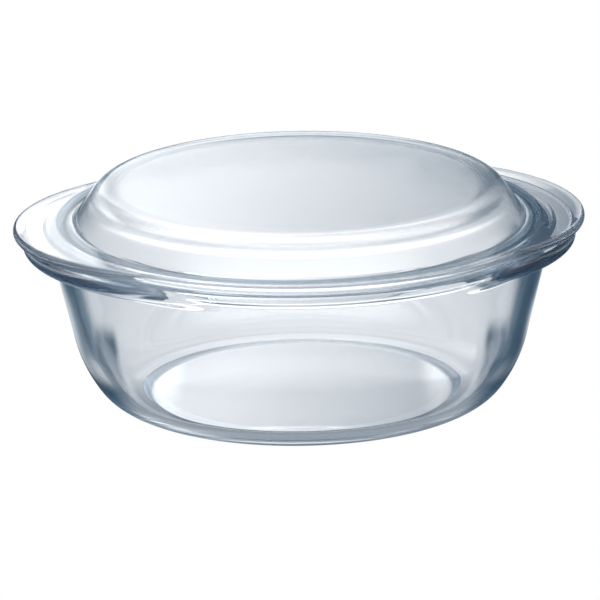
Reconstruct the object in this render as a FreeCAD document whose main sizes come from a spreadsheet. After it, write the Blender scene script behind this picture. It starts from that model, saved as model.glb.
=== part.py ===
import FreeCAD, Part
import math
import os
from types import SimpleNamespace

import Sketcher

# Round covered casserole dish, pressed from clear heat-proof glass.
# It is two loose pieces: a dish with two wide lugs, and a lid that rests on its rim.
# Frame: origin at the middle of the base, +Z up, the lugs lie along X. Millimetres.

SIZES = {
    # dish, outside
    "base_radius": 72.0,
    "base_corner": 21.1,
    "belly_radius": 57.6,
    "wall_flare": 13.5,
    "neck_radius": 108.5,
    "neck_height": 71.0,
    "rim_radius": 110.5,
    "lip_height": 73.2,
    "dish_height": 76.1,
    "rim_edge": 1.2,
    # dish, inside and under the base
    "floor_thickness": 6.0,
    "floor_radius": 72.8,
    "floor_corner": 15.5,
    "inner_belly": 52.4,
    "mouth_radius": 104.4,
    "foot_width": 1.8,
    "foot_slope": 0.6,
    "base_hollow": 0.5,
    # dish lugs
    "lug_reach": 120.0,
    "lug_offset": 21.0,
    "lug_bottom": 68.8,
    "lug_thickness": 6.0,
    "lug_edge": 2.7,
    "lug_top_root": 1.0,
    "lug_low_root": 2.0,
    # lid
    "seat_gap": 0.2,
    "lid_radius": 110.0,
    "flange_thickness": 4.1,
    "flange_inside": 101.0,
    "lid_height": 96.2,
    "crown_radius": 82.1,
    "crown_corner": 9.0,
    "crown_flare": 35.0,
    "crown_foot": 2.2,
    "lid_thickness": 4.8,
    "inner_corner": 16.0,
    "ring_radius": 102.0,
    "ring_depth": 2.4,
    "ring_draft": 0.4,
    "ring_edge": 0.9,
    "ring_root": 0.6,
    "lid_lug_reach": 124.3,
    "lid_lug_offset": 38.0,
    "lid_blend": 30.0,
    "lid_edge": 1.9,
}

START, END, CENTRE = 1, 2, 3
X_AXIS, Y_AXIS = -1, -2
UP = FreeCAD.Vector(0, 0, 1)
CLOSE = 0.02
JOINT_OVERLAP = 3.0
MOUTH_CLEAR = 5.0
EDGE_SPOTS = 9
RING_SPLIT = 1.0


def point(x, y):
    return FreeCAD.Vector(x, y, 0)


def polar(centre, radius, degrees):
    """The point at this radius and angle about a centre."""
    turn = math.radians(degrees)
    return centre + point(radius * math.cos(turn), radius * math.sin(turn))


def make_sheet(doc):
    """The spreadsheet, with one aliased cell for each driving size."""
    sheet = doc.addObject("Spreadsheet::Sheet", "dims")
    for row, (name, value) in enumerate(SIZES.items(), start=1):
        sheet.set("A%d" % row, name)
        sheet.set("B%d" % row, str(value))
        sheet.setAlias("B%d" % row, name)
    doc.recompute()
    return sheet


def make_sketch(body, name, role, lift=None):
    """A sketch on one of the body's origin planes, raised by the lift expression."""
    plane = next(item for item in body.Origin.OriginFeatures if item.Role == role)
    sketch = body.newObject("Sketcher::SketchObject", name)
    sketch.AttachmentSupport = [(plane, "")]
    sketch.MapMode = "FlatFace"
    if lift:
        sketch.setExpression("AttachmentOffset.Base.z", lift)
    return sketch


class Outline:
    """A chain of lines and arcs in a sketch, each starting where the last one ends."""

    def __init__(self, sketch):
        self.sketch = sketch
        self.chain = []

    def line(self, start, end, smooth=False):
        index = self.sketch.addGeometry(Part.LineSegment(start, end))
        return self._join(index, START, END, smooth)

    def arc(self, centre, radius, begin, finish, smooth=False):
        """An arc from one angle to another, in degrees, either way round."""
        circle = Part.Circle(centre, UP, radius)
        low, high = math.radians(min(begin, finish)), math.radians(max(begin, finish))
        index = self.sketch.addGeometry(Part.ArcOfCircle(circle, low, high))
        ends = (START, END) if finish > begin else (END, START)
        return self._join(index, *ends, smooth)

    def _join(self, index, first, last, smooth):
        if self.chain:
            before, _, tail = self.chain[-1]
            kind = "Tangent" if smooth else "Coincident"
            self.sketch.addConstraint(Sketcher.Constraint(kind, before, tail, index, first))
        self.chain.append((index, first, last))
        return index

    def close(self, smooth=False):
        last, _, tail = self.chain[-1]
        index, first, _ = self.chain[0]
        kind = "Tangent" if smooth else "Coincident"
        self.sketch.addConstraint(Sketcher.Constraint(kind, last, tail, index, first))


def bind(sketch, kind, places, value, expression):
    """Adds a dimension and drives it from the spreadsheet."""
    index = sketch.addConstraint(Sketcher.Constraint(kind, *places, value))
    sketch.setExpression("Constraints[%d]" % index, expression)


def tie(sketch, kind, *places):
    sketch.addConstraint(Sketcher.Constraint(kind, *places))


def belly_centre(on_wall, flare, belly, corner, corner_radius):
    """Centre of the belly arc, which touches the wall line and the corner arc."""
    turn = math.radians(flare)
    along = point(math.sin(turn), math.cos(turn))
    inward = point(-math.cos(turn), math.sin(turn))
    start = on_wall + inward * belly
    gap = start - corner
    half = gap.dot(along)
    reach = belly - corner_radius
    return start + along * (math.sqrt(half * half - gap.dot(gap) + reach * reach) - half)


def bowl_outside(body, d):
    """Half section of the filled bowl: base, corner, belly, wall and rim."""
    sketch = make_sketch(body, "outside_section", "XZ_Plane")
    outline = Outline(sketch)
    corner = point(d.base_radius, d.base_corner)
    neck = point(d.neck_radius, d.neck_height)
    belly = belly_centre(neck, d.wall_flare, d.belly_radius, corner, d.base_corner)
    turn = math.degrees(math.atan2(corner.y - belly.y, corner.x - belly.x))
    foot_in = d.base_radius - d.foot_width
    slope_in = foot_in - d.foot_slope

    hollow = outline.line(point(0, d.base_hollow), point(slope_in, d.base_hollow))
    slope = outline.line(point(slope_in, d.base_hollow), point(foot_in, 0))
    foot = outline.line(point(foot_in, 0), point(d.base_radius, 0))
    base_arc = outline.arc(corner, d.base_corner, -90, turn, smooth=True)
    belly_arc = outline.arc(belly, d.belly_radius, turn, -d.wall_flare, smooth=True)
    wall = outline.line(polar(belly, d.belly_radius, -d.wall_flare), neck, smooth=True)
    lip = outline.line(neck, point(d.rim_radius, d.lip_height))
    edge = outline.line(
        point(d.rim_radius, d.lip_height), point(d.rim_radius, d.dish_height)
    )
    top = outline.line(point(d.rim_radius, d.dish_height), point(0, d.dish_height))
    axis = outline.line(point(0, d.dish_height), point(0, d.base_hollow))
    outline.close()

    for flat in (hollow, foot, top):
        tie(sketch, "Horizontal", flat)
    for upright in (edge, axis):
        tie(sketch, "Vertical", upright)
    tie(sketch, "PointOnObject", axis, START, Y_AXIS)
    tie(sketch, "PointOnObject", foot, START, X_AXIS)
    here = (X_AXIS, START)
    lean = math.radians(90 - d.wall_flare)
    bind(sketch, "DistanceY", (*here, hollow, START), d.base_hollow, "dims.base_hollow")
    bind(sketch, "DistanceX", (slope, START, foot, START), d.foot_slope, "dims.foot_slope")
    bind(sketch, "DistanceX", (foot, START, foot, END), d.foot_width, "dims.foot_width")
    bind(sketch, "DistanceX", (*here, foot, END), d.base_radius, "dims.base_radius")
    bind(sketch, "Radius", (base_arc,), d.base_corner, "dims.base_corner")
    bind(sketch, "Radius", (belly_arc,), d.belly_radius, "dims.belly_radius")
    bind(sketch, "Angle", (wall,), lean, "(90 - dims.wall_flare) * 1 deg")
    bind(sketch, "DistanceX", (*here, lip, START), d.neck_radius, "dims.neck_radius")
    bind(sketch, "DistanceY", (*here, lip, START), d.neck_height, "dims.neck_height")
    bind(sketch, "DistanceX", (*here, edge, START), d.rim_radius, "dims.rim_radius")
    bind(sketch, "DistanceY", (*here, edge, START), d.lip_height, "dims.lip_height")
    bind(sketch, "DistanceY", (*here, top, START), d.dish_height, "dims.dish_height")
    return sketch


def bowl_inside(body, d):
    """Half section of the space in the bowl, from the floor up past the mouth."""
    sketch = make_sketch(body, "inside_section", "XZ_Plane")
    outline = Outline(sketch)
    corner = point(d.floor_radius, d.floor_thickness + d.floor_corner)
    lid_room = d.dish_height + MOUTH_CLEAR
    spread = MOUTH_CLEAR * math.tan(math.radians(d.wall_flare))
    mouth = point(d.mouth_radius + spread, lid_room)
    belly = belly_centre(mouth, d.wall_flare, d.inner_belly, corner, d.floor_corner)
    turn = math.degrees(math.atan2(corner.y - belly.y, corner.x - belly.x))

    floor = outline.line(point(0, d.floor_thickness), point(d.floor_radius, d.floor_thickness))
    floor_arc = outline.arc(corner, d.floor_corner, -90, turn, smooth=True)
    belly_arc = outline.arc(belly, d.inner_belly, turn, -d.wall_flare, smooth=True)
    wall = outline.line(polar(belly, d.inner_belly, -d.wall_flare), mouth, smooth=True)
    top = outline.line(mouth, point(0, lid_room))
    axis = outline.line(point(0, lid_room), point(0, d.floor_thickness))
    outline.close()

    tie(sketch, "Horizontal", floor)
    tie(sketch, "Horizontal", top)
    tie(sketch, "Vertical", axis)
    tie(sketch, "PointOnObject", axis, START, Y_AXIS)
    here = (X_AXIS, START)
    lean = math.radians(90 - d.wall_flare)
    widening = "%g * tan(dims.wall_flare * 1 deg)" % MOUTH_CLEAR
    room = "dims.dish_height + %g" % MOUTH_CLEAR
    bind(sketch, "DistanceY", (*here, floor, START), d.floor_thickness, "dims.floor_thickness")
    bind(sketch, "DistanceX", (*here, floor, END), d.floor_radius, "dims.floor_radius")
    bind(sketch, "Radius", (floor_arc,), d.floor_corner, "dims.floor_corner")
    bind(sketch, "Radius", (belly_arc,), d.inner_belly, "dims.inner_belly")
    bind(sketch, "Angle", (wall,), lean, "(90 - dims.wall_flare) * 1 deg")
    bind(sketch, "DistanceX", (*here, wall, END), mouth.x, "dims.mouth_radius + " + widening)
    bind(sketch, "DistanceY", (*here, top, START), lid_room, room)
    return sketch


def lug_plan(body, d):
    """Plan of both dish lugs: two wide discs, which the bowl hides between the lugs."""
    sketch = make_sketch(body, "lug_plan", "XY_Plane", "dims.lug_bottom")
    outline = Outline(sketch)
    disc = d.lug_reach - d.lug_offset
    meet = math.degrees(math.acos(-d.lug_offset / disc))
    right = outline.arc(point(d.lug_offset, 0), disc, -meet, meet)
    left = outline.arc(point(-d.lug_offset, 0), disc, 180 - meet, 180 + meet)
    outline.close()
    tie(sketch, "Equal", right, left)
    here = (X_AXIS, START)
    for arc in (right, left):
        tie(sketch, "PointOnObject", arc, CENTRE, X_AXIS)
    bind(sketch, "Radius", (right,), disc, "dims.lug_reach - dims.lug_offset")
    bind(sketch, "DistanceX", (*here, right, CENTRE), d.lug_offset, "dims.lug_offset")
    bind(sketch, "DistanceX", (left, CENTRE, *here), d.lug_offset, "dims.lug_offset")
    return sketch


def lug_corner(rim, reach, offset, blend):
    """Angles of the concave blend between a rim circle and a lug's wider arc."""
    arc = reach - offset
    far = rim + blend
    cosine = (far * far + offset * offset - (arc + blend) ** 2) / (2 * offset * far)
    about_rim = math.degrees(math.acos(cosine))
    centre = polar(point(0, 0), far, about_rim)
    about_lug = math.degrees(math.atan2(centre.y, centre.x - offset))
    return about_rim, about_lug, centre


def flange_plan(body, d):
    """Plan of the lid's flange: a round rim that swells into two wide lugs."""
    lift = "dims.dish_height + dims.seat_gap"
    sketch = make_sketch(body, "flange_plan", "XY_Plane", lift)
    about_rim, about_lug, corner = lug_corner(
        d.lid_radius, d.lid_lug_reach, d.lid_lug_offset, d.lid_blend
    )
    arc = d.lid_lug_reach - d.lid_lug_offset
    origin = point(0, 0)
    outline = Outline(sketch)
    rims, lugs, blends = [], [], []
    for turn in (0, 180):
        side = 1 if turn == 0 else -1
        low = point(side * corner.x, -side * corner.y)
        high = point(side * corner.x, side * corner.y)
        centre = point(side * d.lid_lug_offset, 0)
        smooth = bool(lugs)
        blends.append(
            outline.arc(
                low, d.lid_blend, turn + 180 - about_rim, turn + 180 - about_lug, smooth
            )
        )
        lugs.append(
            outline.arc(centre, arc, turn - about_lug, turn + about_lug, smooth=True)
        )
        blends.append(
            outline.arc(
                high, d.lid_blend, turn + 180 + about_lug, turn + 180 + about_rim, True
            )
        )
        rims.append(
            outline.arc(
                origin, d.lid_radius, turn + about_rim, turn + 180 - about_rim, smooth=True
            )
        )
    outline.close(smooth=True)
    hole = sketch.addGeometry(Part.Circle(origin, UP, d.flange_inside))
    tie(sketch, "Coincident", rims[0], CENTRE, X_AXIS, START)
    tie(sketch, "Coincident", rims[1], CENTRE, X_AXIS, START)
    tie(sketch, "Coincident", hole, CENTRE, X_AXIS, START)
    tie(sketch, "Equal", rims[0], rims[1])
    tie(sketch, "Equal", lugs[0], lugs[1])
    for blend in blends[1:]:
        tie(sketch, "Equal", blends[0], blend)
    for lug in lugs:
        tie(sketch, "PointOnObject", lug, CENTRE, X_AXIS)
    here = (X_AXIS, START)
    offset = d.lid_lug_offset
    bind(sketch, "Radius", (rims[0],), d.lid_radius, "dims.lid_radius")
    bind(sketch, "Radius", (lugs[0],), arc, "dims.lid_lug_reach - dims.lid_lug_offset")
    bind(sketch, "Radius", (blends[0],), d.lid_blend, "dims.lid_blend")
    bind(sketch, "Radius", (hole,), d.flange_inside, "dims.flange_inside")
    bind(sketch, "DistanceX", (*here, lugs[0], CENTRE), offset, "dims.lid_lug_offset")
    bind(sketch, "DistanceX", (lugs[1], CENTRE, *here), offset, "dims.lid_lug_offset")
    return sketch


def lid_profile(body, d):
    """Half section of the lid: crown, sloping side, locating ring and the inside."""
    sketch = make_sketch(body, "crown_section", "XZ_Plane")
    outline = Outline(sketch)
    flare = math.radians(d.crown_flare)
    under = d.dish_height + d.seat_gap
    over = under + d.flange_thickness
    ring_low = under - d.ring_depth
    joint_radius = d.flange_inside + JOINT_OVERLAP
    crown = point(d.crown_radius, d.lid_height - d.crown_corner)
    shoulder = polar(crown, d.crown_corner, d.crown_flare)
    foot_radius = shoulder.x + (shoulder.y - over) * math.tan(flare)
    width = d.lid_thickness / math.cos(flare)
    ceiling_y = d.lid_height - d.lid_thickness
    inner_foot = foot_radius - width + (over - ring_low) * math.tan(flare)
    corner_y = ceiling_y - d.inner_corner
    corner_end = corner_y + d.inner_corner * math.sin(flare)
    corner_x = foot_radius - width - (corner_end - over) * math.tan(flare)
    corner = point(corner_x - d.inner_corner * math.cos(flare), corner_y)

    top = outline.line(point(0, d.lid_height), point(d.crown_radius, d.lid_height))
    crown_arc = outline.arc(crown, d.crown_corner, 90, d.crown_flare, smooth=True)
    side = outline.line(shoulder, point(foot_radius, over), smooth=True)
    ledge = outline.line(point(foot_radius, over), point(joint_radius, over))
    joint = outline.line(point(joint_radius, over), point(joint_radius, under))
    seat = outline.line(point(joint_radius, under), point(d.ring_radius, under))
    ring_end = point(d.ring_radius - d.ring_draft, ring_low)
    ring_side = outline.line(point(d.ring_radius, under), ring_end)
    ring_base = outline.line(ring_end, point(inner_foot, ring_low))
    inner_side = outline.line(
        point(inner_foot, ring_low), polar(corner, d.inner_corner, d.crown_flare)
    )
    inner_arc = outline.arc(corner, d.inner_corner, d.crown_flare, 90, smooth=True)
    ceiling = outline.line(point(corner.x, ceiling_y), point(0, ceiling_y), smooth=True)
    axis = outline.line(point(0, ceiling_y), point(0, d.lid_height))
    outline.close()

    for flat in (top, ledge, seat, ring_base, ceiling):
        tie(sketch, "Horizontal", flat)
    for upright in (joint, axis):
        tie(sketch, "Vertical", upright)
    tie(sketch, "PointOnObject", axis, START, Y_AXIS)
    tie(sketch, "Parallel", side, inner_side)
    here = (X_AXIS, START)
    seat_height = "dims.dish_height + dims.seat_gap"
    ledge_height = seat_height + " + dims.flange_thickness"
    joint_size = "dims.flange_inside + %g" % JOINT_OVERLAP
    ceiling_size = "dims.lid_height - dims.lid_thickness"
    lean = flare - math.pi / 2
    bind(sketch, "DistanceY", (*here, top, START), d.lid_height, "dims.lid_height")
    bind(sketch, "DistanceX", (*here, top, END), d.crown_radius, "dims.crown_radius")
    bind(sketch, "Radius", (crown_arc,), d.crown_corner, "dims.crown_corner")
    bind(sketch, "Angle", (side,), lean, "(dims.crown_flare - 90) * 1 deg")
    bind(sketch, "DistanceY", (*here, ledge, START), over, ledge_height)
    bind(sketch, "DistanceX", (*here, joint, START), joint_radius, joint_size)
    bind(sketch, "DistanceY", (*here, seat, START), under, seat_height)
    bind(sketch, "DistanceX", (*here, seat, END), d.ring_radius, "dims.ring_radius")
    bind(sketch, "DistanceX", (ring_side, END, ring_side, START), d.ring_draft, "dims.ring_draft")
    bind(sketch, "DistanceY", (ring_side, END, ring_side, START), d.ring_depth, "dims.ring_depth")
    bind(sketch, "Distance", (inner_side, START, side), d.lid_thickness, "dims.lid_thickness")
    bind(sketch, "DistanceY", (*here, ceiling, END), ceiling_y, ceiling_size)
    bind(sketch, "Radius", (inner_arc,), d.inner_corner, "dims.inner_corner")
    return sketch


def revolve(body, sketch, name, kind="Revolution"):
    """Turns a half section about the upright axis, to add it or, as a Groove, to cut it."""
    turned = body.newObject("PartDesign::" + kind, name)
    turned.Profile = sketch
    turned.ReferenceAxis = (sketch, ["V_Axis"])
    turned.Angle = 360
    body.Document.recompute()
    return turned


def pad(body, sketch, name, thickness):
    raised = body.newObject("PartDesign::Pad", name)
    raised.Profile = sketch
    raised.setExpression("Length", thickness)
    body.Document.recompute()
    return raised


def round_edges(body, name, radius, height, inside, outside):
    """Fillets the edges at one height whose points all lie between two radii."""
    base = body.Tip
    names = []
    for number, edge in enumerate(base.Shape.Edges, start=1):
        spots = edge.discretize(EDGE_SPOTS)
        level = all(abs(spot.z - height) < CLOSE for spot in spots)
        spans = [math.hypot(spot.x, spot.y) for spot in spots]
        if level and inside < min(spans) and max(spans) < outside:
            names.append("Edge%d" % number)
    if not names:
        raise RuntimeError("%s found no edge" % name)
    fillet = body.newObject("PartDesign::Fillet", name)
    fillet.Base = (base, names)
    fillet.setExpression("Radius", "dims." + radius)
    body.Document.recompute()
    return fillet


def make_dish(doc, d):
    """The bowl with its two lugs: lug discs, the filled bowl, then the space inside."""
    body = doc.addObject("PartDesign::Body", "dish")
    top = d.lug_bottom + d.lug_thickness
    rim = d.rim_radius
    pad(body, lug_plan(body, d), "lug_discs", "dims.lug_thickness")
    for name, height in (("lug_under_edge", d.lug_bottom), ("lug_upper_edge", top)):
        round_edges(body, name, "lug_edge", height, 0, d.lug_reach + CLOSE)
    revolve(body, bowl_outside(body, d), "bowl")
    filled = body.Shape.Volume
    revolve(body, bowl_inside(body, d), "hollow", "Groove")
    if body.Shape.Volume > filled / 2:
        raise RuntimeError("the dish is not hollow")
    round_edges(body, "rim_outer_edge", "rim_edge", d.dish_height, rim - CLOSE, rim + CLOSE)
    mouth = d.mouth_radius
    round_edges(body, "mouth_edge", "rim_edge", d.dish_height, mouth - CLOSE, mouth + CLOSE)
    round_edges(body, "lug_upper_root", "lug_top_root", top, rim - CLOSE, rim + CLOSE)
    flare = math.tan(math.radians(d.wall_flare))
    wall = d.neck_radius - (d.neck_height - d.lug_bottom) * flare
    round_edges(
        body, "lug_under_root", "lug_low_root", d.lug_bottom, wall - CLOSE, wall + CLOSE
    )
    return body


def make_lid(doc, d):
    """The lid: a flange with two lugs, and a crown with a ring that drops in the mouth."""
    body = doc.addObject("PartDesign::Body", "lid")
    under = d.dish_height + d.seat_gap
    over = under + d.flange_thickness
    ring_low = under - d.ring_depth
    pad(body, flange_plan(body, d), "flange", "dims.flange_thickness")
    reach = d.lid_lug_reach + CLOSE
    for name, height in (("flange_under_edge", under), ("flange_upper_edge", over)):
        round_edges(body, name, "lid_edge", height, d.lid_radius - CLOSE, reach)
    revolve(body, lid_profile(body, d), "crown")
    foot = d.ring_radius
    split = foot - RING_SPLIT
    round_edges(body, "crown_foot", "crown_foot", over, d.crown_radius, foot)
    round_edges(body, "ring_outer_edge", "ring_edge", ring_low, split, foot)
    round_edges(body, "ring_inner_edge", "ring_edge", ring_low, d.crown_radius, split)
    round_edges(body, "ring_root", "ring_root", under, foot - CLOSE, foot + CLOSE)
    return body


def check(doc, bodies):
    """Stops if any object failed, or a piece isn't one valid closed solid."""
    for item in doc.Objects:
        if "Invalid" in item.State or "Error" in item.State:
            raise RuntimeError("%s failed: %s" % (item.Name, item.State))
    for body in bodies:
        shape = body.Shape
        if shape.isNull() or not shape.isValid() or len(shape.Solids) != 1:
            raise RuntimeError("%s is not one valid solid" % body.Label)
        print("%s: %.1f cm3" % (body.Label, shape.Volume / 1000))
    gap = bodies[0].Shape.distToShape(bodies[1].Shape)[0]
    print("gap between dish and lid: %.3f mm" % gap)


def main():
    doc = FreeCAD.newDocument("covered_casserole")
    sheet = make_sheet(doc)
    d = SimpleNamespace(**{name: float(sheet.get(name)) for name in SIZES})
    bodies = [make_dish(doc, d), make_lid(doc, d)]
    doc.recompute()
    for body in bodies:
        body.Label = body.Name
        body.Placement = FreeCAD.Placement()
    check(doc, bodies)
    os.makedirs("parts", exist_ok=True)
    for body in bodies:
        body.Shape.exportStep("parts/%s.step" % body.Label)


main()
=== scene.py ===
import math

import bpy
import numpy as np
from mathutils import Matrix, Vector


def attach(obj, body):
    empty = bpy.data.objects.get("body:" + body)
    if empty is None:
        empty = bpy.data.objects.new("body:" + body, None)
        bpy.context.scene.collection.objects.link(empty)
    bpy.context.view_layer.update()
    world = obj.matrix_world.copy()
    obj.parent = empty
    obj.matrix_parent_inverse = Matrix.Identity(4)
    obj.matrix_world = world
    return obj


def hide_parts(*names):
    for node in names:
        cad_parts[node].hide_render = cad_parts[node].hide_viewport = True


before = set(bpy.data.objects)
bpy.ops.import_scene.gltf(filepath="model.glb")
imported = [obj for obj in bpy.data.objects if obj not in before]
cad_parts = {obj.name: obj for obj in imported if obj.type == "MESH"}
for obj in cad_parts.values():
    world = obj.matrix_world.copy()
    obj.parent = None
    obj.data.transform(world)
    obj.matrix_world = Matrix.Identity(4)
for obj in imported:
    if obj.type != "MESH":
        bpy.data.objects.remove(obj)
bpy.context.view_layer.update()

MM = 0.001

# Driving sizes in millimetres and degrees, the same as the CAD part's.
BASE_RADIUS, BASE_CORNER = 72.0, 21.1
BELLY_RADIUS, WALL_FLARE = 57.6, 13.5
NECK_RADIUS, NECK_HEIGHT = 108.5, 71.0
RIM_RADIUS, LIP_HEIGHT, DISH_HEIGHT, RIM_EDGE = 110.5, 73.2, 76.1, 1.2
FLOOR_THICKNESS, FLOOR_RADIUS, FLOOR_CORNER = 6.0, 72.8, 15.5
INNER_BELLY, MOUTH_RADIUS = 52.4, 104.4
FOOT_WIDTH, FOOT_SLOPE, BASE_HOLLOW = 1.8, 0.6, 0.5
LUG_REACH, LUG_OFFSET = 120.0, 21.0
LUG_BOTTOM, LUG_THICKNESS, LUG_EDGE = 68.8, 6.0, 2.7
LUG_TOP_ROOT, LUG_LOW_ROOT = 1.0, 2.0
SEAT = DISH_HEIGHT + 0.2
LID_RADIUS, FLANGE_THICKNESS, LID_EDGE = 110.0, 4.1, 1.9
LID_HEIGHT, LID_THICKNESS = 96.2, 4.8
CROWN_RADIUS, CROWN_CORNER, CROWN_FLARE, CROWN_FOOT = 82.1, 9.0, 35.0, 2.2
INNER_CORNER = 16.0
RING_RADIUS, RING_DEPTH, RING_DRAFT, RING_EDGE, RING_ROOT = 102.0, 2.4, 0.4, 0.9, 0.6
LID_LUG_REACH, LID_LUG_OFFSET, LID_BLEND = 124.26, 38.0, 30.0

# Small roundings that pressed glass has where the drawing has a sharp crease.
LIP_SOFT, NECK_SOFT = 0.4, 0.5

# What several places work out from those: slopes in radians, and radii of the foot.
WALL_LEAN = math.radians(WALL_FLARE)
CROWN_LEAN = math.radians(CROWN_FLARE)
FOOT_INSIDE = BASE_RADIUS - FOOT_WIDTH
CROWN_CENTRE = np.array([CROWN_RADIUS, LID_HEIGHT - CROWN_CORNER])

# Meshes: points round each one, and the radius of the round of points beside a pole.
TURNS = 360
POLE_ROUND = 2.0

# The outside of the rim is found by rays from a point inside it, which reach so far
# below the neck. Points crowd where the outline bends, by this many mm a radian.
RIM_HEART, RIM_DEPTH = (106.0, 71.9), 13.0
RIM_PROBES, RIM_STEPS, BEND_SHARE = 500, 110, 2.5
RAY_LENGTH, HALVINGS = 40.0, 40

# Glass: refraction, its colour with depth, roughness of the satin parts, and the size
# and height in metres of the waves in its surface.
GLASS_IOR = 1.474
GLASS_COLOUR, GLASS_DENSITY = (0.30, 0.44, 0.56, 1), 7.0
SATIN = 0.2
WAVE_SCALE, WALL_WAVE, LUG_WAVE = 26.0, 0.00004, 0.00012

# What the glass lets through, and the painted shade that darkens it where it turns edge-on and
# above the lid's ring, in place of the dark surroundings that it would refract.
CLEAR = (1, 1, 1, 1)
EDGE_SHADE = (0.10, 0.17, 0.22, 1)
RING_SHADE = (0.12, 0.19, 0.25, 1)

# The studio's dimmest colour and its white.
DIM = (0.07, 0.12, 0.18, 1)
WHITE = (0.97, 1.0, 1.03, 1)

# Camera: angles in degrees, the point that it goes round and its distance in metres,
# how far left of that point and below it the lens aims, and lens and sensor in mm.
VIEW_AZIMUTH, VIEW_ELEVATION, VIEW_ROLL = -9.5, 16.35, 0.87
VIEW_TARGET, VIEW_DISTANCE = (0, 0, 0.050), 2.633
AIM_LEFT, AIM_DOWN = 0.00026061, 0.00734907
LENS, SENSOR = 363.72, 36.0

# Stage in metres: the floor's half width, the heights of the floor and of the table
# that the glass sees, and how far back and how large the card behind the dish is.
FLOOR_HALF, FLOOR_HEIGHT, TABLE_HEIGHT = 15.0, -0.0004, -0.0002
CARD_AWAY, CARD_HALF, CARD_HEIGHT = 0.32, 0.30, 0.45


# ---------------------------------------------------------------- profiles

def unit(v):
    return v / np.linalg.norm(v)


def angle_of(v):
    """Direction of a vector in the section, in radians."""
    return math.atan2(v[1], v[0])


def on_circle(centre, radius, turn):
    return centre + radius * np.array([math.cos(turn), math.sin(turn)])


class Profile:
    """A half section drawn point by point: straight runs and rounded corners."""

    def __init__(self, start):
        self.points = [np.array(start, float)]

    def line(self, end, steps):
        start = self.points[-1]
        for k in range(1, steps + 1):
            self.points.append(start + (np.array(end, float) - start) * k / steps)
        return self

    def sweep(self, centre, radius, begin, swept, steps):
        """Goes round a centre from one angle through another."""
        for k in range(1, steps + 1):
            self.points.append(on_circle(centre, radius, begin + swept * k / steps))
        return self

    def arc(self, centre, radius, finish, steps):
        """Goes round a centre, from the last point to an angle."""
        begin = angle_of(self.points[-1] - centre)
        return self.sweep(centre, radius, begin, finish - begin, steps)

    def corner(self, at, towards, radius, before, steps):
        """Runs straight to a corner point that is rounded, then goes round it."""
        back = unit(self.points[-1] - at)
        ahead = unit(towards - at)
        half = math.acos(np.clip(back @ ahead, -1, 1)) / 2
        centre = at + unit(back + ahead) * radius / math.sin(half)
        first = at + back * radius / math.tan(half)
        last = at + ahead * radius / math.tan(half)
        begin = angle_of(first - centre)
        swept = (angle_of(last - centre) - begin + math.pi) % (2 * math.pi) - math.pi
        return self.line(first, before).sweep(centre, radius, begin, swept, steps)

    def array(self):
        return np.array(self.points)


def belly_centre(on_wall, belly, corner, corner_radius):
    """Centre of the belly arc, which touches the wall line and the corner arc."""
    along = np.array([math.sin(WALL_LEAN), math.cos(WALL_LEAN)])
    start = on_wall + belly * np.array([-math.cos(WALL_LEAN), math.sin(WALL_LEAN)])
    gap = start - corner
    half = gap @ along
    reach = belly - corner_radius
    return start + along * (math.sqrt(half * half - gap @ gap + reach * reach) - half)


# ---------------------------------------------------------------- the two outlines in plan

TURN = np.arange(TURNS) * 2 * math.pi / TURNS


def lug_disc(reach, offset):
    """Radius of a lug's disc seen from the axis, for every turn; both lugs alike."""
    disc = reach - offset
    across = np.abs(np.cos(TURN))
    return offset * across + np.sqrt(disc**2 - (offset * np.sin(TURN)) ** 2)


def lid_outline():
    """The lid's edge: a round rim that swells through hollow blends into two lugs."""
    far = LID_RADIUS + LID_BLEND
    reach = LID_LUG_REACH - LID_LUG_OFFSET + LID_BLEND
    cosine = (far**2 + LID_LUG_OFFSET**2 - reach**2) / (2 * LID_LUG_OFFSET * far)
    blend_turn = math.acos(cosine)
    centre = far * np.array([cosine, math.sin(blend_turn)])
    touch = centre - LID_BLEND * unit(centre - np.array([LID_LUG_OFFSET, 0]))
    turn = np.arccos(np.abs(np.cos(TURN)))
    hollow = far * np.cos(turn - blend_turn) - np.sqrt(
        np.maximum(LID_BLEND**2 - (far * np.sin(turn - blend_turn)) ** 2, 0)
    )
    lug = lug_disc(LID_LUG_REACH, LID_LUG_OFFSET)
    return np.where(
        turn < angle_of(touch), lug, np.where(turn < blend_turn, hollow, LID_RADIUS)
    )


# ---------------------------------------------------------------- meshes

def make_mesh(name, grid, low_pole, high_pole):
    """A closed mesh from a grid of points, (section, turn, xyz), and its two poles."""
    rows, turns, _ = grid.shape
    corners = np.vstack([grid.reshape(-1, 3), low_pole, high_pole])
    low, high = rows * turns, rows * turns + 1
    here = np.arange(turns)
    beside = (here + 1) % turns
    faces = []
    for row in range(rows - 1):
        a, b = row * turns, (row + 1) * turns
        faces.extend(np.stack([a + here, a + beside, b + beside, b + here], 1).tolist())
    faces.extend([low, int(j), int(i)] for i, j in zip(here, beside))
    last = (rows - 1) * turns
    faces.extend([high, last + int(i), last + int(j)] for i, j in zip(here, beside))
    mesh = bpy.data.meshes.new(name)
    mesh.from_pydata((corners * MM).tolist(), [], faces)
    mesh.polygons.foreach_set("use_smooth", np.ones(len(mesh.polygons), bool))
    normals = grid_normals(grid, low_pole, high_pole)
    mesh.normals_split_custom_set_from_vertices(normals.tolist())
    mesh.update()
    thing = bpy.data.objects.new(name, mesh)
    bpy.context.scene.collection.objects.link(thing)
    return thing


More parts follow.
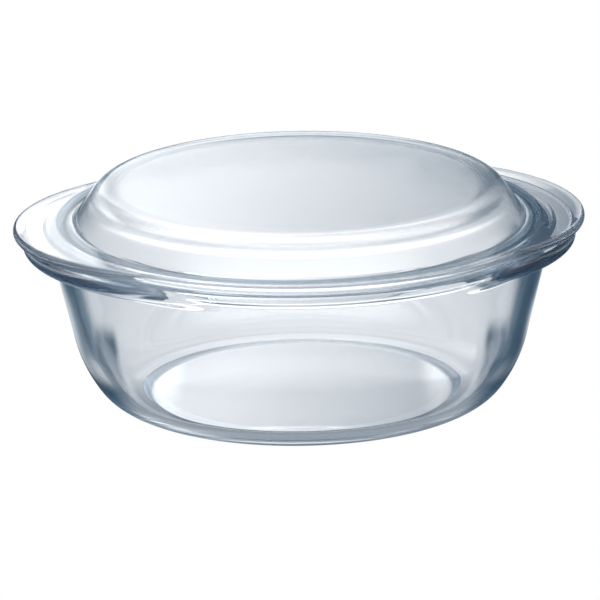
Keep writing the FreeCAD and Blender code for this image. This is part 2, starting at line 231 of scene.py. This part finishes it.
def grid_normals(grid, low_pole, high_pole):
    """Outward normals from the grid itself, so that flats stay flat up to a rounding."""
    one_round = (1, grid.shape[1], 3)
    full = np.concatenate(
        [np.broadcast_to(low_pole, one_round), grid, np.broadcast_to(high_pole, one_round)]
    )
    before, after = full[1:-1] - full[:-2], full[2:] - full[1:-1]
    gap_before = np.linalg.norm(before, axis=2, keepdims=True)
    gap_after = np.linalg.norm(after, axis=2, keepdims=True)
    along = before * gap_after / gap_before + after * gap_before / gap_after
    around = np.roll(grid, -1, axis=1) - np.roll(grid, 1, axis=1)
    normal = np.cross(around, along)
    normal /= np.linalg.norm(normal, axis=2, keepdims=True)
    return np.vstack([normal.reshape(-1, 3), [0, 0, -1], [0, 0, 1]])


def spin(radius, height):
    """Grid of points from radii and heights, each given (section) or (section, turn)."""
    radius, height = (
        np.broadcast_to(v if v.ndim == 2 else v[:, None], (len(v), TURNS))
        for v in (radius, height)
    )
    return np.stack([radius * np.cos(TURN), radius * np.sin(TURN), height], axis=2)


def make_lid():
    """Crown, sloping side, flange with lugs, locating ring and the inside."""
    slope = math.tan(CROWN_LEAN)
    over, ring_low = SEAT + FLANGE_THICKNESS, SEAT - RING_DEPTH
    ceiling = LID_HEIGHT - LID_THICKNESS
    shoulder = on_circle(CROWN_CENTRE, CROWN_CORNER, CROWN_LEAN)
    foot = np.array([shoulder[0] + (shoulder[1] - over) * slope, over])
    width = LID_THICKNESS / math.cos(CROWN_LEAN)
    inner_foot = np.array([foot[0] - width + (over - ring_low) * slope, ring_low])
    inner_top = np.array([inner_foot[0] - (ceiling - ring_low) * slope, ceiling])
    ring = np.array([RING_RADIUS - RING_DRAFT, ring_low])
    root = np.array([RING_RADIUS, SEAT])
    tip_high, tip_low = np.array([LID_RADIUS, over]), np.array([LID_RADIUS, SEAT])

    flange_steps = 10
    outline = Profile([POLE_ROUND, ceiling])
    outline.corner(inner_top, inner_foot, INNER_CORNER, 12, 14)
    outline.corner(inner_foot, ring, RING_EDGE, 12, 8)
    outline.corner(ring, root, RING_EDGE, 4, 8)
    outline.corner(root, tip_low, RING_ROOT, 2, 5)
    start_low = len(outline.points) - 1
    outline.corner(tip_low, tip_high, LID_EDGE, flange_steps, 12)
    end_low = start_low + flange_steps
    outline.corner(tip_high, foot, LID_EDGE, 1, 12)
    start_high = len(outline.points) - 1
    outline.corner(foot, shoulder, CROWN_FOOT, flange_steps, 8)
    end_high = start_high + flange_steps
    outline.line(shoulder, 14)
    outline.arc(CROWN_CENTRE, CROWN_CORNER, math.pi / 2, 20)
    outline.line([POLE_ROUND, LID_HEIGHT], 16)
    section = outline.array()

    # How much of the lugs' reach each point takes: all at the edge, none at the crown.
    share = np.zeros(len(section))
    share[start_low : end_low + 1] = np.linspace(0, 1, flange_steps + 1)
    share[end_low : start_high + 1] = 1
    share[start_high : end_high + 1] = np.linspace(1, 0, flange_steps + 1)
    radius = section[:, :1] + share[:, None] * (lid_outline() - LID_RADIUS)
    grid = spin(radius, section[:, 1])
    return make_mesh("glass_lid", grid, [0, 0, ceiling], [0, 0, LID_HEIGHT])


def round_out(a, b, radius):
    """Signed distance of the rounded convex corner of two half planes."""
    return np.minimum(np.maximum(a, b), -radius) + np.hypot(
        np.maximum(a + radius, 0), np.maximum(b + radius, 0)
    )


def round_in(a, b, radius):
    """Signed distance of two shapes joined with a hollow fillet."""
    return np.maximum(np.minimum(a, b), radius) - np.hypot(
        np.maximum(radius - a, 0), np.maximum(radius - b, 0)
    )


def rim_distance(r, z, reach):
    """Signed distance in a half section to the outside of the wall top, rim and lug."""
    wall = (r - NECK_RADIUS) * math.cos(WALL_LEAN) - (z - NECK_HEIGHT) * math.sin(WALL_LEAN)
    rise, run = LIP_HEIGHT - NECK_HEIGHT, RIM_RADIUS - NECK_RADIUS
    lip = ((r - NECK_RADIUS) * rise - (z - NECK_HEIGHT) * run) / math.hypot(rise, run)
    rim = round_in(wall, round_out(lip, r - RIM_RADIUS, LIP_SOFT), NECK_SOFT)
    bowl = round_out(rim, z - DISH_HEIGHT, RIM_EDGE)
    middle = LUG_BOTTOM + LUG_THICKNESS / 2
    out = r - reach + LUG_EDGE
    up = np.abs(z - middle) - LUG_THICKNESS / 2 + LUG_EDGE
    lug = np.hypot(np.maximum(out, 0), np.maximum(up, 0)) + np.minimum(np.maximum(out, up), 0)
    root = np.where(z > middle, LUG_TOP_ROOT, LUG_LOW_ROOT)
    return round_in(bowl, lug - LUG_EDGE, root)


def cast(angles, reach):
    """Where rays from the rim's heart leave it, for angles given (section, turn)."""
    near, far = np.zeros_like(angles), np.full_like(angles, RAY_LENGTH)
    for _ in range(HALVINGS):
        middle = (near + far) / 2
        r = RIM_HEART[0] + middle * np.cos(angles)
        z = RIM_HEART[1] + middle * np.sin(angles)
        inside = rim_distance(r, z, reach) < 0
        near, far = np.where(inside, middle, near), np.where(inside, far, middle)
    middle = (near + far) / 2
    return RIM_HEART[0] + middle * np.cos(angles), RIM_HEART[1] + middle * np.sin(angles)


def rim_and_lugs():
    """The outer surface from high on the wall to the rim's top, lugs included."""
    reach = lug_disc(LUG_REACH, LUG_OFFSET)[None, :]
    low = np.array([NECK_RADIUS - RIM_DEPTH * math.tan(WALL_LEAN), NECK_HEIGHT - RIM_DEPTH])
    first = angle_of(low - RIM_HEART)
    probe = np.linspace(first, math.pi / 2, RIM_PROBES)[:, None] * np.ones((1, TURNS))
    r, z = cast(probe, reach)
    run = np.hypot(np.diff(r, axis=0), np.diff(z, axis=0))
    heading = np.unwrap(np.arctan2(np.diff(z, axis=0), np.diff(r, axis=0)), axis=0)
    bend = np.abs(np.diff(heading, axis=0, prepend=heading[:1]))
    pace = np.vstack([np.zeros((1, TURNS)), np.cumsum(run + BEND_SHARE * bend, axis=0)])
    angles = np.empty((RIM_STEPS, TURNS))
    for k in range(TURNS):
        marks = np.linspace(0, pace[-1, k], RIM_STEPS)
        angles[:, k] = np.interp(marks, pace[:, k], probe[:, k])
    return cast(angles, reach)


def make_dish():
    """Base, wall, rim with lugs, mouth and the inside of the bowl."""
    rim_r, rim_z = rim_and_lugs()
    corner = np.array([BASE_RADIUS, BASE_CORNER])
    neck = np.array([NECK_RADIUS, NECK_HEIGHT])
    belly = belly_centre(neck, BELLY_RADIUS, corner, BASE_CORNER)
    outside = Profile([POLE_ROUND, BASE_HOLLOW])
    outside.line([FOOT_INSIDE - FOOT_SLOPE, BASE_HOLLOW], 10).line([FOOT_INSIDE, 0], 5)
    outside.line([BASE_RADIUS, 0], 5)
    outside.arc(corner, BASE_CORNER, angle_of(corner - belly), 22)
    outside.arc(belly, BELLY_RADIUS, -WALL_LEAN, 16)
    outside.line([rim_r[0, 0], rim_z[0, 0]], 12)
    outer = outside.array()[:-1]

    floor_corner = np.array([FLOOR_RADIUS, FLOOR_THICKNESS + FLOOR_CORNER])
    mouth = np.array([MOUTH_RADIUS, DISH_HEIGHT])
    inner_belly = belly_centre(mouth, INNER_BELLY, floor_corner, FLOOR_CORNER)
    wall_low = on_circle(inner_belly, INNER_BELLY, -WALL_LEAN)
    inside = Profile([RIM_HEART[0], DISH_HEIGHT])
    inside.corner(mouth, wall_low, RIM_EDGE, 2, 10)
    inside.line(wall_low, 18)
    inside.arc(inner_belly, INNER_BELLY, angle_of(floor_corner - inner_belly), 16)
    inside.arc(floor_corner, FLOOR_CORNER, -math.pi / 2, 18)
    inside.line([POLE_ROUND, FLOOR_THICKNESS], 12)
    inner = inside.array()[1:]

    grid = np.concatenate([spin(*outer.T), spin(rim_r, rim_z), spin(*inner.T)])
    return make_mesh("glass_dish", grid, [0, 0, BASE_HOLLOW], [0, 0, FLOOR_THICKNESS])


# ---------------------------------------------------------------- materials

class Nodes:
    """Short ways to add shader nodes to a tree and join them."""

    def __init__(self, tree):
        self.tree = tree

    def add(self, kind, **settings):
        node = self.tree.nodes.new(kind)
        for name, value in settings.items():
            setattr(node, name, value)
        return node

    def join(self, value, socket):
        if isinstance(value, bpy.types.NodeSocket):
            self.tree.links.new(value, socket)
        else:
            socket.default_value = value

    def math(self, operation, *values):
        node = self.add("ShaderNodeMath", operation=operation)
        for value, socket in zip(values, node.inputs):
            self.join(value, socket)
        return node.outputs[0]

    def product(self, first, *others):
        for other in others:
            first = self.math("MULTIPLY", first, other)
        return first

    def length(self, x, y):
        squares = self.math("MULTIPLY", x, x), self.math("MULTIPLY", y, y)
        return self.math("SQRT", self.math("ADD", *squares))

    def ramp(self, value, low, high, start=0.0, end=1.0):
        """Goes smoothly from start to end while a value goes from low to high."""
        node = self.add("ShaderNodeMapRange", interpolation_type="SMOOTHSTEP")
        for value, socket in zip((value, low, high, start, end), node.inputs):
            self.join(value, socket)
        return node.outputs[0]

    def fall(self, value, low, high):
        return self.ramp(value, low, high, 1.0, 0.0)

    def band(self, value, rise, fall):
        """Rises between the first pair of values and falls between the second."""
        return self.product(self.ramp(value, *rise), self.fall(value, *fall))

    def blend(self, factor, first, second):
        node = self.add("ShaderNodeMix", data_type="RGBA")
        for value, place in ((factor, 0), (first, 6), (second, 7)):
            self.join(value, node.inputs[place])
        return node.outputs[2]

    def xyz(self, vector):
        node = self.add("ShaderNodeSeparateXYZ")
        self.join(vector, node.inputs[0])
        return node.outputs

    def noise(self, vector, scale, detail):
        node = self.add("ShaderNodeTexNoise")
        self.join(vector, node.inputs["Vector"])
        self.join(scale, node.inputs["Scale"])
        self.join(detail, node.inputs["Detail"])
        return node.outputs["Fac"]


# Each of these five is one on a part of the glass and nothing elsewhere, from the
# distance to the axis and the height in metres. The ramps are its soft edges. The first
# two mark satin parts; the last three mark where painted shade darkens the glass.

def under_base(make, radius, z):
    """The recess under the dish and the inside of its foot."""
    edge = FOOT_INSIDE * MM
    return make.product(
        make.fall(z, 0.0008, 0.0020), make.fall(radius, edge + 0.0020, edge + 0.0034)
    )


def under_crown(make, radius, z):
    """The inside of the lid's crown and of its sloping side."""
    soft = 0.0005
    slope = math.tan(CROWN_LEAN)
    shoulder = on_circle(CROWN_CENTRE, CROWN_CORNER, CROWN_LEAN)
    half_width = LID_THICKNESS / math.cos(CROWN_LEAN) / 2
    middle = (shoulder[0] + shoulder[1] * slope - half_width) * MM
    within_side = make.fall(
        make.math("MULTIPLY_ADD", z, slope, radius), middle - soft, middle + soft
    )
    below = (LID_HEIGHT - LID_THICKNESS / 2) * MM
    within_top = make.fall(z, below - soft, below + soft)
    return make.product(within_side, within_top, make.ramp(z, 0.0765, 0.0835))


def dish_wall(make, facing, radius, z):
    """The dish's wall and base corner, where they turn edge-on: painted shade for their dark
    outline.
    """
    wall = make.product(make.ramp(radius, 0.0728, 0.0748), make.fall(z, 0.066, 0.069))
    return make.product(wall, make.ramp(facing, 0.66, 0.80))


def crown_edge(make, facing, radius, z):
    """The crown's corner and sloping side, where they turn edge-on: painted shade for their
    dark outline.
    """
    side = make.product(make.ramp(radius, 0.0815, 0.0823), make.ramp(z, 0.081, 0.084))
    return make.product(side, make.ramp(facing, 0.73, 0.85))


def over_ring(make, facing, radius, z):
    """The band of the lid's flange above its locating ring, seen at a low angle: painted shade
    for the dark band there.
    """
    band = make.band(radius, (0.0985, 0.0998), (0.1048, 0.1062))
    return make.product(band, make.ramp(z, 0.0796, 0.0800), make.ramp(facing, 0.45, 0.70))


def glass(name, satin_part, painted_shade_parts):
    """Pressed glass: blue-grey where it is deep, wavy in the lugs, satin in one part, and
    darkened by painted shade in the parts given.
    """
    material = bpy.data.materials.new(name)
    material.use_nodes = True
    make = Nodes(material.node_tree)
    nodes = material.node_tree.nodes
    shader = nodes["Principled BSDF"]
    shader.inputs["Transmission Weight"].default_value = 1.0
    shader.inputs["IOR"].default_value = GLASS_IOR

    place = make.add("ShaderNodeTexCoord").outputs["Object"]
    x, y, z = make.xyz(place)
    radius = make.length(x, y)
    facing = make.add("ShaderNodeLayerWeight").outputs["Facing"]
    # The base colour is clear, darkened by painted shade in each of the given parts.
    shaded_colour = CLEAR
    for part, colour in painted_shade_parts:
        shaded_colour = make.blend(part(make, facing, radius, z), shaded_colour, colour)
    make.join(shaded_colour, shader.inputs["Base Color"])
    make.join(make.product(satin_part(make, radius, z), SATIN), shader.inputs["Roughness"])

    waves = make.noise(place, WAVE_SCALE, 1.0)
    in_lug = make.ramp(radius, 0.100, 0.112)
    depth = make.math("MULTIPLY_ADD", in_lug, LUG_WAVE, WALL_WAVE)
    bump = make.add("ShaderNodeBump")
    make.join(make.product(depth, waves), bump.inputs["Height"])
    make.join(1.0, bump.inputs["Distance"])
    make.join(bump.outputs["Normal"], shader.inputs["Normal"])

    absorb = make.add("ShaderNodeVolumeAbsorption")
    absorb.inputs["Color"].default_value = GLASS_COLOUR
    absorb.inputs["Density"].default_value = GLASS_DENSITY
    make.join(absorb.outputs["Volume"], nodes["Material Output"].inputs["Volume"])
    return material


# ---------------------------------------------------------------- stage

# The studio's own axes: right and away from the camera, level, in metres.
VIEW_COS, VIEW_SIN = math.cos(math.radians(VIEW_AZIMUTH)), math.sin(math.radians(VIEW_AZIMUTH))


def turned(make, vector):
    """Right, away and up of a position or a direction, as three sockets."""
    x, y, up = make.xyz(vector)
    right = make.math("ADD", make.product(x, VIEW_COS), make.product(y, VIEW_SIN))
    away = make.math("SUBTRACT", make.product(y, VIEW_COS), make.product(x, VIEW_SIN))
    return right, away, up


def emission(name):
    """A material that only gives light, its nodes and its emission node."""
    material = bpy.data.materials.new(name)
    material.use_nodes = True
    make = Nodes(material.node_tree)
    nodes = material.node_tree.nodes
    nodes.remove(nodes["Principled BSDF"])
    light = make.add("ShaderNodeEmission")
    make.join(light.outputs[0], nodes["Material Output"].inputs["Surface"])
    return material, make, light


def shine(make, light, bright):
    """Sets an emission: dim blue-grey at nothing, white at one, stronger above."""
    make.join(make.blend(bright, DIM, WHITE), light.inputs["Color"])
    make.join(make.math("MAXIMUM", bright, 1.0), light.inputs["Strength"])


def panel(name, corners, material):
    mesh = bpy.data.meshes.new(name)
    mesh.from_pydata(corners, [], [(0, 1, 2, 3)])
    thing = bpy.data.objects.new(name, mesh)
    bpy.context.scene.collection.objects.link(thing)
    mesh.materials.append(material)
    return thing


def square(half, height):
    return [(x * half, y * half, height) for x, y in ((-1, -1), (1, -1), (1, 1), (-1, 1))]


def make_floor():
    """The white floor that the camera sees, and nothing else does."""
    material, _, light = emission("floor_white")
    light.inputs["Strength"].default_value = 1.0
    floor = panel("floor", square(FLOOR_HALF, FLOOR_HEIGHT), material)
    floor.visible_glossy = False
    floor.visible_transmission = False
    floor.visible_diffuse = False
    floor.visible_volume_scatter = False


def table_around(make, right, away):
    """Light of the table round the dish: a strip that is wider behind it, darker near
    the camera, with a dark line along each side that gives the wall its outline."""
    spread = make.ramp(away, 0.02, 0.10, 0.0, 0.030)
    off_middle = make.math("ABSOLUTE", make.math("ADD", right, 0.010))
    strip = make.fall(make.math("SUBTRACT", off_middle, spread), 0.090, 0.130)
    skew = make.math("MULTIPLY_ADD", away, -0.145, make.math("ABSOLUTE", right))
    across = make.band(skew, (0.078, 0.083), (0.096, 0.106))
    line = make.product(across, make.band(away, (-0.05, -0.02), (0.07, 0.11)))
    near = make.ramp(away, -0.035, 0.02, 0.25, 0.81)
    return make.product(strip, make.math("SUBTRACT", 1.0, line), near)


def make_table():
    """The table that only the glass sees: bright in the recess and round the dish, with a
    painted shadow under the foot.
    """
    material, make, light = emission("table_glow")
    place = make.add("ShaderNodeNewGeometry").outputs["Position"]
    right, away, _ = turned(make, place)
    span = make.length(right, away)
    foot, edge = FOOT_INSIDE * MM, BASE_RADIUS * MM
    under = make.fall(span, foot - 0.0014, foot - 0.0006)
    left_brighter = make.ramp(right, -0.070, 0.070, 1.25, 0.60)
    # Under the foot it is dark, a painted shadow of the foot in a ring that is open at both
    # sides.
    past_foot = make.ramp(
        make.math("MULTIPLY_ADD", away, 0.03, span), edge - 0.0008, edge + 0.0002
    )
    at_sides = make.ramp(make.math("ABSOLUTE", right), 0.050, 0.060)
    outside = make.math("MAXIMUM", past_foot, at_sides)
    around = make.product(outside, table_around(make, right, away))
    shine(make, light, make.math("ADD", make.product(under, left_brighter), around))
    table = panel("table", square(FLOOR_HALF, TABLE_HEIGHT), material)
    table.visible_camera = False


def make_card():
    """An upright card behind the dish that only the glass sees, bright to the left."""
    material, make, light = emission("card_glow")
    place = make.add("ShaderNodeNewGeometry").outputs["Position"]
    right, _, up = turned(make, place)
    off_middle = make.math("ABSOLUTE", make.math("ADD", right, 0.015))
    low = make.product(
        make.ramp(off_middle, 0.11, 0.165, 1.0, 0.15), make.ramp(up, 0.055, 0.075, 1.5, 1.0)
    )
    high = make.product(
        make.ramp(right, -0.20, 0.11, 2.3, 0.05),
        make.ramp(right, 0.09, 0.12, 1.0, 0.3),
        make.ramp(right, -0.22, -0.17, 0.3, 1.0),
    )
    # Two bright fields, one above the other, with a dark gap between them.
    high = make.product(high, make.ramp(up, 0.145, 0.17))
    low = make.product(low, make.fall(up, 0.095, 0.115))
    shine(make, light, make.math("ADD", high, low))

    # The card fades out towards its own edges, so that they never show in the glass.
    cover = make.product(
        make.fall(make.math("ABSOLUTE", right), 0.19, 0.29), make.fall(up, 0.34, 0.44)
    )
    mixed = make.add("ShaderNodeMixShader")
    make.join(cover, mixed.inputs[0])
    make.join(make.add("ShaderNodeBsdfTransparent").outputs[0], mixed.inputs[1])
    make.join(light.outputs[0], mixed.inputs[2])
    output = material.node_tree.nodes["Material Output"]
    make.join(mixed.outputs[0], output.inputs["Surface"])
    sides = (-CARD_HALF, CARD_HALF, CARD_HALF, -CARD_HALF)
    heights = (0.0, 0.0, CARD_HEIGHT, CARD_HEIGHT)
    corners = [
        (VIEW_COS * side - VIEW_SIN * CARD_AWAY, VIEW_SIN * side + VIEW_COS * CARD_AWAY, height)
        for side, height in zip(sides, heights)
    ]
    card = panel("card", corners, material)
    card.visible_camera = False


def grey(level):
    return (level, level, level, 1)


def make_world():
    """A room that is brighter in front, with soft lights over the front, back and top."""
    world = bpy.data.worlds.new("studio")
    bpy.context.scene.world = world
    world.use_nodes = True
    make = Nodes(world.node_tree)
    place = make.add("ShaderNodeTexCoord").outputs["Generated"]
    _, away, up = turned(make, place)
    tilt = make.product(make.math("ARCSINE", up), math.degrees(1))
    room = make.blend(make.ramp(away, -0.6, 0.2, 0.9, 0.3), DIM, WHITE)
    rear = make.product(
        make.ramp(away, 0.35, 0.6), make.band(tilt, (28.0, 38.0), (52.0, 62.0)), 0.9
    )
    front = make.product(
        make.ramp(away, -0.55, 0.0, 1.0, 0.12), make.band(tilt, (24.0, 34.0), (56.0, 66.0))
    )
    lit = make.blend(rear, room, grey(1.15))
    lit = make.blend(front, lit, grey(4.0))
    lit = make.blend(make.ramp(tilt, 60.0, 74.0), lit, grey(1.8))
    make.join(lit, world.node_tree.nodes["Background"].inputs["Color"])


def make_camera():
    """A long lens from the front, a little to the left and above."""
    elevation = math.radians(VIEW_ELEVATION)
    back = Vector(
        (VIEW_SIN * math.cos(elevation), -VIEW_COS * math.cos(elevation), math.sin(elevation))
    )
    level = back.to_track_quat("Z", "Y").to_matrix()
    right, up = level.col[0], level.col[1]
    target = Vector(VIEW_TARGET)
    place = target + back * VIEW_DISTANCE
    aim = target - right * AIM_LEFT - up * AIM_DOWN
    turn = (place - aim).to_track_quat("Z", "Y").to_matrix() @ Matrix.Rotation(
        -math.radians(VIEW_ROLL), 3, "Z"
    )
    data = bpy.data.cameras.new("camera")
    data.sensor_width = SENSOR
    data.lens = LENS
    data.clip_end = 100.0
    camera = bpy.data.objects.new("camera", data)
    camera.location = place
    camera.rotation_mode = "QUATERNION"
    camera.rotation_quaternion = turn.to_quaternion()
    bpy.context.scene.collection.objects.link(camera)
    bpy.context.scene.camera = camera


make_camera()
scene = bpy.context.scene
scene.view_settings.view_transform = "Standard"
scene.cycles.max_bounces = 128
scene.cycles.transmission_bounces = 128
scene.cycles.glossy_bounces = 128

# Each piece with its satin part and the parts whose colour is darkened by painted shade.
for piece, body, slot, satin_part, painted_shade_parts in (
    (make_dish(), "dish", "dish_glass", under_base, [(dish_wall, EDGE_SHADE)]),
    (
        make_lid(), "lid", "lid_glass", under_crown,
        [(crown_edge, EDGE_SHADE), (over_ring, RING_SHADE)],
    ),
):
    piece.data.materials.append(glass(piece.name, satin_part, painted_shade_parts))
    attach(piece, body)
    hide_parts(body)

make_floor()
make_table()
make_card()
make_world()
